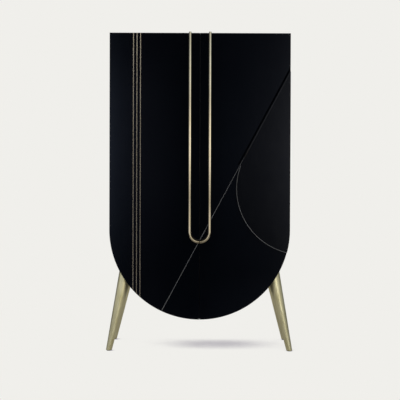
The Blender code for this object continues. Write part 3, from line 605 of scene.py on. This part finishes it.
def make_brass(name, colour, roughness, grain_axis, grain_depth):
    """Brass drawn or brushed along one axis: fine scratches, and a tarnish that comes and goes."""
    finish = start_finish(name, colour, roughness, 1.0)
    scratch = [scratch_width] * 3
    scratch[grain_axis] = scratch_run
    dulled = tuple(part * share for part, share in zip(colour, tarnish_tint))
    tone = ramp(finish, cloud(finish, tarnish_patch, 4.0), [(0.35, dulled), (0.6, colour)])
    scratches = cloud(finish, scratch, 2.0)
    gloss = ramp(finish, scratches, [(0.3, roughness * 0.85), (0.7, roughness * 1.2)])
    return dress(finish, tone, gloss, scratches, grain_depth)


def place_in(finish, axis):
    """The place along X, Y or Z on a piece, in metres."""
    place = add_node(finish, "ShaderNodeTexCoord").outputs["Object"]
    return add_node(finish, "ShaderNodeSeparateXYZ", place).outputs[axis]


def paint_light_by_height(finish, stops):
    """Paints light and shade into a finish, brighter or darker with height; stops are (height in metres,
    share) pairs.
    """
    level = sums(finish, "DIVIDE", place_in(finish, "Z"), door_top_z)
    shares = ramp(finish, level, [(height / door_top_z, share) for height, share in stops])
    colour = shader_of(finish).inputs["Base Color"]
    link(finish, blend(finish, "MULTIPLY", 1.0, colour.links[0].from_socket, shares), colour)


strip_brass = make_brass("strip_brass", strip_colour, strip_roughness, along_z, fine_scratch_depth)
# Painted highlight: the strips' colour is brighter towards the top and darker low down.
paint_light_by_height(strip_brass, strip_painted_light)
for number, (low, high) in enumerate(strip_boxes, start=1):
    strip = copy_of(doors["left"], f"let_in_strip_{number}")
    slab = block("slice", (low.x, low.y - overrun, 0), (high.x, high.y, strip_saw_height))
    combine(strip, slab, "INTERSECT")
    groove_low = (low.x - groove_slack, low.y - overrun, 0)
    groove_high = (high.x + groove_slack, high.y + groove_slack, strip_saw_height)
    combine(doors["left"], block("groove", groove_low, groove_high))
    hang(strip, strip_brass, "door_left", "brass", f"brass_strip_{number}")


# The raised panel: an overlay board glued on the right door. Its straight edge rises to the door's outer
# edge, beside a V-shaped shadow channel in the door. Its other edge is an arc tangent to the first, edged in
# nickel with painted light that makes it brighter low down.
panel_low, panel_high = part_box("raised_panel")
line_foot_x = -0.189
line_foot_z = spring_z - math.sqrt(half_width ** 2 - line_foot_x ** 2)
line_lean = math.atan2(half_width - line_foot_x, panel_high.z - line_foot_z)
arc_radius = 0.328
arc_from_side = 0.229
panel_run = 1.0
panel_chamfer = 0.0015
edging_arris = 0.0003
edging_width = 0.0022
edging_slack = 0.0001
edging_start = 0.045
channel_width = 0.0095
channel_shift = 0.0022
channel_run = 1.5
line_colour = (0.18, 0.18, 0.185)
line_roughness = 0.34
line_painted_light = [(0.20, 1.55), (0.38, 1.15), (0.50, 1.05), (0.62, 1.30), (0.78, 0.90), (0.95, 0.75)]
charcoal_dark = (0.0019, 0.0021, 0.0027)
charcoal_light = (0.0027, 0.0029, 0.0036)
charcoal_roughness = 0.075


def line_point(x):
    """A point on the straight line that crosses both doors."""
    return Vector((x, 0, panel_high.z - (half_width - x) / math.tan(line_lean)))


def lean_to_line(piece, place):
    """Tips a piece that stands at the origin so that it follows the line, and sets it at a place."""
    choose(piece)
    piece.location = place
    piece.rotation_euler = (0, line_lean, 0)
    return settle(piece.name)


line_tangent = line_point(half_width - arc_from_side)
upward = Vector((math.sin(line_lean), 0, math.cos(line_lean)))
upward_left = Vector((-math.cos(line_lean), 0, math.sin(line_lean)))
arc_middle = line_tangent - arc_radius * upward_left


def arc_board(name, radius, spare=0.0):
    """A board about the panel's arc, with straight sides along the line; spare is extra thickness."""
    board = arched_board(name, radius, 0, panel_run + spare, panel_low.y - spare, door_front_y + spare)
    return lean_to_line(board, arc_middle)


def arc_ring(name, outer, inner, spare):
    """What lies between two such boards, from where the arc has parted from the line."""
    ring = arc_board(name, outer, spare)
    combine(ring, arc_board("core", inner, spare + overrun))
    saw(ring, line_tangent - edging_start * upward, upward)
    return ring


def trim_to_front(piece):
    """Trims a piece to the doors' own outline."""
    outline = arched_board("outline", half_width, spring_z, door_top_z, panel_low.y - overrun,
                           door_front_y + overrun)
    combine(piece, outline, "INTERSECT")


def panel_edge(a, b):
    """A chamfer on the straight edge, and the door's own small arris where the panel ends flush with it."""
    if not rim_at(along_y, panel_low.y)(a, b):
        return 0
    if on_side(a) and on_side(b):
        return arris / panel_chamfer
    return int(all(near(point.z, line_point(point.x).z) for point in (a, b)))


overlay = arc_board("overlay_board", arc_radius)
rebate_radius = arc_radius - edging_width - edging_slack
combine(overlay, arc_ring("rebate", arc_radius + overrun, rebate_radius, overrun))
edging = arc_ring("arc_edging", arc_radius, arc_radius - edging_width, 0)
for piece in (overlay, edging):
    trim_to_front(piece)
round_over(overlay, panel_chamfer, 1, panel_edge)
round_over(edging, edging_arris, 2, rim_at(along_y, panel_low.y))
charcoal = make_lacquer("charcoal_lacquer", charcoal_dark, charcoal_light, charcoal_roughness)
hang(overlay, charcoal, "door_right", "lacquer", "raised_panel")
line_nickel = make_brass("line_nickel", line_colour, line_roughness, along_z, fine_scratch_depth)
# Painted light: the nickel's colour is brightened low down and varied with height.
paint_light_by_height(line_nickel, line_painted_light)
hang(edging, line_nickel, "door_right", "nickel")

channel_half = channel_width / math.sqrt(8)
channel_low = (-channel_half, -channel_half, -edging_start)
channel = block("channel", channel_low, (channel_half, channel_half, channel_run))
choose(channel)
channel.rotation_euler = (0, 0, math.pi / 4)
settle("channel")
channel_foot = line_tangent + upward_left * (channel_width / 2 + channel_shift)
channel_foot.y = door_front_y
combine(doors["right"], lean_to_line(channel, channel_foot))


# The line: a dark nickel wire let in flush across both doors, from the left door's curved edge, over the
# seam, to the point where the raised panel's arc leaves its straight edge. Painted light makes it brighter
# low down.
line_width = 0.0022
line_depth = 0.0015
line_run_before_foot, line_run_past_seam = 0.05, 0.9
line_to_tangent = (line_tangent - line_point(line_foot_x)).length
line_run = {"left": (-line_run_before_foot, line_run_past_seam), "right": (0.0, line_to_tangent)}
for side, sign in sides:
    wire = copy_of(doors[side], "line_wire_" + side)
    run_low, run_high = line_run[side]
    for slack, cut_from, operation in ((0, wire, "INTERSECT"), (groove_slack, doors[side], "DIFFERENCE")):
        half, depth = line_width / 2 + slack, line_depth + slack
        band_low = (-half, door_front_y - overrun, run_low)
        band = block("band", band_low, (half, door_front_y + depth, run_high + slack))
        combine(cut_from, lean_to_line(band, line_point(line_foot_x)), operation)
    hang(wire, line_nickel, "door_" + side, "nickel", "line_inlay_" + side)


# The handles: two J-shaped brass rods that make a narrow U when the doors are shut. Each stands on three
# posts brazed to its back, and a screw from inside the door holds each post. Painted shade makes the bend
# darker than the straight.
rod_low, rod_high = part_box("handle_right")
rod_radius = 0.00625
rod_x, rod_y = rod_high.x - rod_radius, rod_low.y + rod_radius
rod_tip_x = 0.0015
rod_bend = rod_x - rod_tip_x
bend_z = rod_low.z + rod_radius + rod_bend
rod_steps, bend_steps = 48, 32
post_radius = 0.0045
rod_arris = 0.0008
screw_boxes = [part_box(f"handle_screw_right_{number}") for number in (1, 2, 3)]
post_levels = [(low.z + high.z) / 2 for low, high in screw_boxes]
post_sides = 48
screw_head, screw_head_slack = 0.004, 0.0003
screw_shank, screw_shank_slack = 0.002, 0.0002
screw_seat_depth = 0.0035
screw_seat_y = door_back_y - screw_seat_depth
merging = 0.00001
brass_colour = (0.86, 0.73, 0.51)
rod_roughness, rod_scratch_depth = 0.07, 0.000001
rod_painted_shade = [(rod_low.z, 0.45), (rod_low.z + 2 * rod_radius, 0.55), (bend_z - rod_radius, 0.90),
              (bend_z, 1.0)]


def mend_normals(piece):
    """Merges doubles and turns every face outwards."""
    choose(piece)
    bpy.ops.object.mode_set(mode="EDIT")
    bpy.ops.mesh.select_all(action="SELECT")
    bpy.ops.mesh.remove_doubles(threshold=merging)
    bpy.ops.mesh.normals_make_consistent(inside=False)
    bpy.ops.object.mode_set(mode="OBJECT")


def mirror(piece):
    """Turns a right-hand piece into a left-hand one."""
    choose(piece)
    piece.scale.x = -1
    mend_normals(settle(piece.name))
    return piece


def rod_end(a, b):
    """The rims at the rod's top and at its tip, where the two handles meet."""
    return rim_at(along_z, rod_high.z)(a, b) or rim_at(along_x, rod_tip_x)(a, b)


rod = rod_along("rod_handle_right", "z", rod_radius, bend_z, rod_high.z, (rod_x, rod_y, 0), rod_steps)
pick_faces(rod, lambda normal: normal.z < -square_on)
bpy.ops.mesh.spin(steps=bend_steps, angle=-math.pi / 2, center=(rod_tip_x, rod_y, bend_z), axis=(0, 1, 0))
bpy.ops.object.mode_set(mode="OBJECT")
mend_normals(rod)
round_over(rod, rod_arris, 3, rod_end)
for level in post_levels:
    post = rod_along("post", "y", post_radius, rod_y, door_front_y, (rod_x, 0, level), post_sides)
    combine(rod, post, "UNION")
rod_brass = make_brass("rod_brass", brass_colour, rod_roughness, along_z, rod_scratch_depth)
# Painted shade: the rod's colour is darker round the bend than on the straight.
paint_light_by_height(rod_brass, rod_painted_shade)
rods = {"right": rod, "left": mirror(copy_of(rod, "rod_handle_left"))}
sink_radius, drill_radius = screw_head + screw_head_slack, screw_shank + screw_shank_slack
for side, sign in sides:
    for level in post_levels:
        place = (sign * rod_x, 0, level)
        sink = rod_along("sink", "y", sink_radius, screw_seat_y, door_back_y + overrun, place)
        combine(doors[side], sink)
        drill = rod_along("drill", "y", drill_radius, door_front_y - overrun, door_back_y, place)
        combine(doors[side], drill)
    hang(rods[side], rod_brass, "door_" + side, "brass", "handle_" + side)


# The handle screws: plated steel, with pan heads and cross recesses, sunk in counterbores in the doors'
# inner faces. Each runs through its door into a post.
head_back_y = screw_boxes[0][1].y
pan_sides, shank_sides = 40, 24
pan_round = 0.0009
pan_shank_start = 0.001
pan_slot_width, pan_slot_reach = 0.0011, 0.0023
steel_colour = (0.60, 0.60, 0.62)
steel_roughness, steel_scratch_depth = 0.32, 0.000002


def cross_recess(screw, width, reach):
    """Sinks a cross into the head of a screw that points to the back from y = 0."""
    for half_x, half_z in ((reach, width / 2), (width / 2, reach)):
        combine(screw, block("slot", (-half_x, -overrun, -half_z), (half_x, width, half_z)))


def place_copy(piece, name, matrix):
    twin = copy_of(piece, name)
    twin.matrix_world = matrix
    return settle(name)


def drive(pattern, name, place, turn, finish, body, slot, *replaced):
    """Sets a copy of a screw with its head at a place, turned about the upright axis, and hangs it."""
    screw = place_copy(pattern, name, Matrix.Translation(place) @ Matrix.Rotation(turn, 4, "Z"))
    hang(screw, finish, body, slot, *replaced)


steel = make_brass("plated_steel", steel_colour, steel_roughness, along_y, steel_scratch_depth)
pan = rod_along("screw_pattern", "y", screw_head, 0, head_back_y - screw_seat_y, (0, 0, 0), pan_sides)
round_over(pan, pan_round, 4, rim_at(along_y, 0))
shank_end = head_back_y - screw_boxes[0][0].y
shank = rod_along("shank", "y", screw_shank, pan_shank_start, shank_end, (0, 0, 0), shank_sides)
combine(pan, shank, "UNION")
cross_recess(pan, pan_slot_width, pan_slot_reach)
for side, sign in sides:
    for number, level in enumerate(post_levels, start=1):
        drive(pan, f"pan_screw_{side}_{number}", (sign * rod_x, head_back_y, level), math.pi, steel,
              "door_" + side, "steel", f"handle_screw_{side}_{number}")
bpy.data.objects.remove(pan)


# The hinges: three brass butts to a door, each an 80 mm pair of leaves let in flush and rolled into knuckles
# round a steel pin. The frame leaf has the two outer knuckles and the door leaf the middle one. Three
# countersunk screws hold each leaf.
leaf_corner = 0.003
leaf_screw_head = 0.0027
leaf_screw_shank = 0.0013
leaf_screw_point = 0.0004
leaf_screw_sink = 0.0013
leaf_screw_length = 0.012
leaf_screw_slack = 0.0001
leaf_screw_spread = 0.029
leaf_slot_width, leaf_slot_reach = 0.0007, 0.0016
sink_proud = 0.00001
leaf_plate_x = pin_x - knuckle_radius - knuckle_slack
leaf_screw_x = (leaf_inner_x + leaf_plate_x) / 2
pin_radius, bore_slack = 0.0015, 0.0001
pin_head_radius, pin_head_height = 0.0026, 0.0012
pin_head_round = 0.0008
knuckle_gap = 0.0003
knuckle_sides, pin_sides, point_sides = 40, 24, 16
hinge_roughness, hinge_scratch_depth = 0.26, 0.000004
hinge_brass = make_brass("hinge_brass", brass_colour, hinge_roughness, along_z, hinge_scratch_depth)


def make_leaf(name, face_y, inward, knuckles):
    """A right-hand leaf about z = 0, with its knuckles and three countersunk holes."""
    y_low, y_high = sorted((face_y, face_y + inward * leaf_thick))
    leaf = block(name, (leaf_inner_x, y_low, -leaf_half), (leaf_plate_x, y_high, leaf_half))
    round_over(leaf, leaf_corner, 6, lambda a, b: rim_at(along_x, leaf_inner_x)(a, b) and near(a.z, b.z))
    about_pin = (pin_x, pin_y, 0)
    for low, high in knuckles:
        tongue = block("tongue", (leaf_plate_x - knuckle_gap, y_low, low), (pin_x, y_high, high))
        combine(leaf, tongue, "UNION")
        knuckle = rod_along("knuckle", "z", knuckle_radius, low, high, about_pin, knuckle_sides)
        combine(leaf, knuckle, "UNION")
        bore = rod_along("bore", "z", pin_radius + bore_slack, low - overrun, high + overrun, about_pin)
        combine(leaf, bore)
    for level in (-leaf_screw_spread, 0, leaf_screw_spread):
        place = (leaf_screw_x, 0, level)
        ends = sorted((face_y - inward * sink_proud, face_y + inward * leaf_screw_sink))
        radii = (leaf_screw_head, leaf_screw_shank) if inward > 0 else (leaf_screw_shank, leaf_screw_head)
        combine(leaf, rod_along("sink", "y", radii[0], *ends, place, far_radius=radii[1]))
        combine(leaf, rod_along("drill", "y", leaf_screw_shank, y_low - overrun, y_high + overrun, place))
    return leaf


third = 2 * leaf_half / 3
lower_knuckle = (-leaf_half, -leaf_half + third - knuckle_gap)
upper_knuckle = (leaf_half - third + knuckle_gap, leaf_half)
frame_leaf = make_leaf("frame_leaf", body_front_y, 1, [lower_knuckle, upper_knuckle])
door_leaf = make_leaf("door_leaf", door_back_y, -1, [(-leaf_half + third, leaf_half - third)])
cap_low = leaf_half + knuckle_gap
cap_high = cap_low + pin_head_height
pin = rod_along("pin", "z", pin_radius, -cap_low, cap_low, (pin_x, pin_y, 0), pin_sides)
cap = rod_along("cap", "z", pin_head_radius, cap_low, cap_high, (pin_x, pin_y, 0))
round_over(cap, pin_head_round, 4, rim_at(along_z, cap_high))
combine(pin, cap, "UNION")
wood_screw = rod_along("wood_screw", "y", leaf_screw_head - leaf_screw_slack, 0, leaf_screw_sink, (0, 0, 0),
                       pin_sides, leaf_screw_shank)
shank = rod_along("shank", "y", leaf_screw_shank - leaf_screw_slack, leaf_screw_sink / 2, leaf_screw_length,
                  (0, 0, 0), point_sides, leaf_screw_point)
combine(wood_screw, shank, "UNION")
cross_recess(wood_screw, leaf_slot_width, leaf_slot_reach)

for side, sign in sides:
    let_in_hinges(doors[side], sign, door_back_y, -1)
    for number, middle in enumerate(leaf_middles, start=1):
        lift = Matrix.Translation((0, 0, middle))
        for pattern, part, body, finish, slot in (
            (frame_leaf, "frame_leaf", "carcass", hinge_brass, "brass"),
            (door_leaf, "door_leaf", "door_" + side, hinge_brass, "brass"),
            (pin, "pin", "carcass", steel, "steel"),
        ):
            piece = place_copy(pattern, f"butt_{part}_{side}_{number}", lift)
            if side == "left":
                mirror(piece)
            hang(piece, finish, body, slot, f"hinge_{part}_{side}_{number}")
        for step in (-1, 0, 1):
            level = middle + step * leaf_screw_spread
            for part, body, face_y, turn in (
                ("frame", "carcass", body_front_y, 0),
                ("door", "door_" + side, door_back_y, math.pi),
            ):
                drive(wood_screw, f"butt_screw_{part}_{side}_{number}_{step + 2}",
                      (sign * leaf_screw_x, face_y, level), turn, hinge_brass, body, "brass")
for pattern in (frame_leaf, door_leaf, pin):
    bpy.data.objects.remove(pattern)


# The catch: a black nylon case under the top with two pairs of steel pole plates, and on each door a steel
# strike plate, let in and held by one screw.
catch_low, catch_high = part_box("magnetic_catch")
catch_arris = 0.0012
pole_thick, pole_gap = 0.0012, 0.005
pole_depth, pole_slack, pole_arris = 0.008, 0.0001, 0.0003
strike_corner, strike_slack = 0.002, 0.0002
nylon_dark, nylon_light = (0.018, 0.018, 0.018), (0.026, 0.026, 0.026)
nylon_roughness = 0.55
case = block("catch_case", catch_low, catch_high)
round_over(case, catch_arris, 3, lambda a, b: near(a.z, catch_low.z) or near(b.z, catch_low.z))
for side in doors:
    strike_low, strike_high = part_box("strike_plate_" + side)
    middle = (strike_low + strike_high) / 2
    for number, level in enumerate((-pole_gap / 2, pole_gap / 2), start=1):
        low = Vector((strike_low.x, catch_low.y, middle.z + level - pole_thick / 2))
        high = Vector((strike_high.x, catch_low.y + pole_depth, middle.z + level + pole_thick / 2))
        slot_low = low - Vector((pole_slack, overrun, pole_slack))
        combine(case, block("pole_slot", slot_low, high + Vector((pole_slack, pole_slack, pole_slack))))
        pole = block(f"catch_pole_{side}_{number}", low, high)
        round_over(pole, pole_arris, 2, rim_at(along_y, catch_low.y))
        hang(pole, steel, "carcass", "steel")
    strike = block("strike_" + side, strike_low, strike_high)
    round_over(strike, strike_corner, 5, lambda a, b: near(a.x, b.x) and near(a.z, b.z))
    recess_low = strike_low - Vector((strike_slack, 0, strike_slack))
    recess_high = (strike_high.x + strike_slack, door_back_y + overrun, strike_high.z + strike_slack)
    combine(doors[side], block("recess", recess_low, recess_high))
    sink = rod_along("sink", "y", leaf_screw_shank, strike_high.y - leaf_screw_sink,
                     strike_high.y + sink_proud, middle, far_radius=leaf_screw_head)
    combine(strike, sink)
    hang(strike, steel, "door_" + side, "steel", "strike_plate_" + side)
    drive(wood_screw, "strike_screw_" + side, (middle.x, strike_high.y, middle.z), math.pi, steel,
          "door_" + side, "steel")
nylon = make_lacquer("black_nylon", nylon_dark, nylon_light, nylon_roughness)
hang(case, nylon, "carcass", "nylon", "magnetic_catch")


# The doors' finish, once everything is let into them: lacquer outside and round the edges, and upright
# walnut veneer on the inner face.
for side, door in doors.items():
    hang(door, lacquer, "door_" + side, "lacquer", "door_" + side,
         lining=walnut_upright, lined=lambda middle, normal: normal.y > square_on)


# The shelves and the lower deck: walnut-veneered board with a solid walnut lipping along the front edge,
# housed in grooves in the sides.
lipping, lipping_blur = 0.006, 0.0002
lipping_grain = (0.40, 0.010, 0.006)
lipping_shade = 0.7
board_names = ["shelf_upper", "shelf_middle", "shelf_lower", "lower_deck"]


def make_lipped_walnut(name, front_y):
    """Walnut veneer with a slightly darker solid strip behind the front edge."""
    finish = make_walnut(name, along_x)
    seam_y = front_y + lipping
    behind = between(finish, place_in(finish, "Y"), seam_y - lipping_blur, seam_y + lipping_blur)
    shaded = tuple(part * lipping_shade for part in walnut_light)
    solid = ramp(finish, cloud(finish, lipping_grain, 4.0), [(0.3, walnut_dark), (0.7, shaded)])
    colour = shader_of(finish).inputs["Base Color"]
    link(finish, blend(finish, "MIX", behind, solid, colour.links[0].from_socket), colour)
    return finish


def refinish(node, finish):
    """Gives a solid that is right in shape a better finish."""
    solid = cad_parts[node]
    solid.data.materials.clear()
    solid.data.materials.append(finish)


lipped_walnut = make_lipped_walnut("lipped_walnut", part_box("shelf_upper")[0].y)
for node in board_names:
    refinish(node, lipped_walnut)


# The back: a 12 mm board let in between the shell, the sides and the top, lacquered behind and veneered in
# front. Four countersunk steel screws run through it into each shelf and into the deck.
back_low, back_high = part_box("back_panel")
back_screw_places = [-0.36, -0.12, 0.12, 0.36]
back_screw_scale = 1.3
back = arched_board("back_board", back_high.x, spring_z, back_high.z, back_low.y, back_high.y)
back_screw = place_copy(wood_screw, "back_screw", Matrix.Scale(back_screw_scale, 4))
for row, node in enumerate(board_names, start=1):
    low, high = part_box(node)
    level = (low.z + high.z) / 2
    for column, x in enumerate(back_screw_places, start=1):
        sink = rod_along("sink", "y", leaf_screw_shank * back_screw_scale,
                         back_high.y - leaf_screw_sink * back_screw_scale, back_high.y + sink_proud,
                         (x, 0, level), far_radius=leaf_screw_head * back_screw_scale)
        combine(back, sink)
        drive(back_screw, f"back_screw_{row}_{column}", (x, back_high.y, level), math.pi, steel,
              "carcass", "steel")
bpy.data.objects.remove(back_screw)
bpy.data.objects.remove(wood_screw)
hang(back, lacquer, "carcass", "lacquer", "back_panel",
     lining=walnut_upright, lined=lambda middle, normal: normal.y < -square_on)


# The bearers: two wedges of beech glued in the corners between the shell and the deck. A steel bolt runs
# down through each into the top of each leg.
beech_dark, beech_light = (0.33, 0.20, 0.11), (0.52, 0.36, 0.22)
beech = make_walnut("beech", along_y, beech_dark, beech_light)
for side, sign in sides:
    refinish("leg_bearer_" + side, beech)
    for end in ("front", "back"):
        refinish(f"leg_bolt_{end}_{side}", steel)


# The legs: four turned tapers in satin brass, splayed outwards and coped to the shell's underside. Fine
# brushing runs down their length, and painted light makes them lighter at the top and duller at the foot.
foot_radius, leg_top_radius = 0.014, 0.037
leg_length = 0.480
leg_sink = 0.010
leg_splay_x, leg_splay_y = math.radians(12), math.radians(5)
leg_steps = 96
leg_arris = 0.0008
cope_slack = 0.0001
leg_colour = (0.78, 0.715, 0.455)
leg_roughness = 0.36
leg_scratch, leg_scratch_depth = (0.0012, 0.0012, 0.12), 0.000008
leg_tarnish_patch = (0.012, 0.012, 0.07)
leg_tarnish_tint = (0.80, 0.78, 0.66)
leg_painted_light = [(0.06, 0.88), (0.16, 0.93), (0.26, 1.14), (0.32, 1.27)]
glide_low, glide_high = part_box("foot_glide_front_right")
foot_front = (glide_low + glide_high) / 2
foot_back_y = sum(corner.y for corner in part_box("foot_glide_back_right")) / 2
leg_foot_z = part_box("leg_front_right")[0].z
ends = (("front", foot_front.y, -1), ("back", foot_back_y, 1))


def make_satin_brass(name, colour, roughness):
    """Brushed brass whose scratches follow the legs' lean, the same way on each of the four."""
    finish = start_finish(name, colour, roughness, 1.0)
    place = add_node(finish, "ShaderNodeTexCoord").outputs["Object"]
    middle = (0, (foot_front.y + foot_back_y) / 2, 0)
    offset = add_node(finish, "ShaderNodeVectorMath", place, middle, operation="SUBTRACT").outputs[0]
    folded = add_node(finish, "ShaderNodeVectorMath", offset, operation="ABSOLUTE").outputs[0]
    upright = add_node(finish, "ShaderNodeMapping", folded)
    upright.inputs["Rotation"].default_value = (-leg_splay_y, leg_splay_x, 0)
    streaks = cloud(finish, leg_scratch, 3.0, upright.outputs[0])
    patches = cloud(finish, leg_tarnish_patch, 4.0, upright.outputs[0])
    dulled = tuple(part * share for part, share in zip(colour, leg_tarnish_tint))
    tone = ramp(finish, patches, [(0.32, dulled), (0.62, colour)])
    gloss = ramp(finish, streaks, [(0.3, roughness * 0.8), (0.7, roughness * 1.25)])
    return dress(finish, tone, gloss, streaks, leg_scratch_depth)


satin_brass = make_satin_brass("satin_brass", leg_colour, leg_roughness)
# Painted light: the legs' colour is brighter towards the top and darker towards the foot.
paint_light_by_height(satin_brass, leg_painted_light)
for side, sign in sides:
    for end, foot_y, depth_sign in ends:
        foot = Vector((sign * foot_front.x, foot_y, 0))
        up = Vector((-sign * math.tan(leg_splay_x), -depth_sign * math.tan(leg_splay_y), 1)).normalized()
        leg_middle = foot + up * (leg_length - leg_sink) / 2
        bpy.ops.mesh.primitive_cone_add(vertices=leg_steps, radius1=foot_radius, radius2=leg_top_radius,
                                        depth=leg_length + leg_sink, location=leg_middle,
                                        rotation=up.to_track_quat("Z", "Y").to_euler())
        leg = settle(f"turned_leg_{end}_{side}")
        saw(leg, (0, 0, leg_foot_z), (0, 0, -1))
        round_over(leg, leg_arris, 3, rim_at(along_z, leg_foot_z))
        combine(leg, disc("cope", half_width + cope_slack, (0, 0, spring_z), hollow_run))
        hang(leg, satin_brass, "carcass", "satin_brass", f"leg_{end}_{side}")


# The glides: four black nylon discs pressed up into the legs' feet, to keep the brass off the floor. Their
# lower rims are rounded.
glide_radius = glide_high.x - foot_front.x
glide_round = 0.0007
glide_sides = 48
glide_dark, glide_light = (0.020, 0.020, 0.020), (0.030, 0.030, 0.030)
glide_roughness = 0.6
glide_nylon = make_lacquer("glide_nylon", glide_dark, glide_light, glide_roughness)
for side, sign in sides:
    for end, foot_y, _ in ends:
        glide = rod_along(f"nylon_glide_{end}_{side}", "z", glide_radius, glide_low.z, leg_foot_z,
                          (sign * foot_front.x, foot_y, 0), glide_sides)
        round_over(glide, glide_round, 3, rim_at(along_z, glide_low.z))
        hang(glide, glide_nylon, "carcass", "nylon", f"foot_glide_{end}_{side}")
